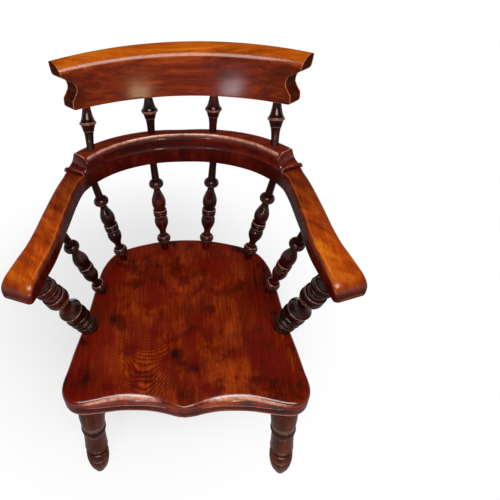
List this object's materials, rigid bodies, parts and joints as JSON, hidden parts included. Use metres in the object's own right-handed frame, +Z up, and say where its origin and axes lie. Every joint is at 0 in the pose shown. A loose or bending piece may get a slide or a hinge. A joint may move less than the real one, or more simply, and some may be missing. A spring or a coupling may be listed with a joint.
{
  "type": "captains chair",
  "caption": "Wooden armchair with a bent arm bow, turned spindles and legs, a saddled seat and a high curved comb rail.",
  "frame": {"origin": "on the floor under the middle of the chair's bounding box", "axes": "+Z up, +X to the right as seen from the front, the sitter faces -Y"},
  "size_m": [0.617, 0.536, 0.906],
  "materials": {
    "seat_wood": "polished red-brown stain",
    "turned_wood": "polished dark red-brown stain",
    "arm_wood": "polished, worn to orange-brown",
    "crest_wood": "polished dark red-brown stain",
    "comb_wood": "polished red-brown stain",
    "screw_steel": "dull steel"
  },
  "bodies": {
    "root": {"seat": "seat_wood", "leg_front_left": "turned_wood", "leg_rear_left": "turned_wood", "side_stretcher_left": "turned_wood", "leg_front_right": "turned_wood", "leg_rear_right": "turned_wood", "side_stretcher_right": "turned_wood", "cross_stretcher_front": "turned_wood", "cross_stretcher_rear": "turned_wood", "arm_post_left": "turned_wood", "side_spindle_left": "turned_wood", "quarter_spindle_left": "turned_wood", "centre_spindle_left": "turned_wood", "arm_left": "arm_wood", "arm_post_right": "turned_wood", "side_spindle_right": "turned_wood", "quarter_spindle_right": "turned_wood", "centre_spindle_right": "turned_wood", "arm_right": "arm_wood", "crest": "crest_wood", "crest_screw_middle_left": "screw_steel", "crest_screw_end_left": "screw_steel", "upper_spindle_inner_left": "turned_wood", "upper_spindle_outer_left": "turned_wood", "crest_screw_middle_right": "screw_steel", "crest_screw_end_right": "screw_steel", "upper_spindle_inner_right": "turned_wood", "upper_spindle_outer_right": "turned_wood", "comb_rail": "comb_wood"}
  },
  "joints": []
}
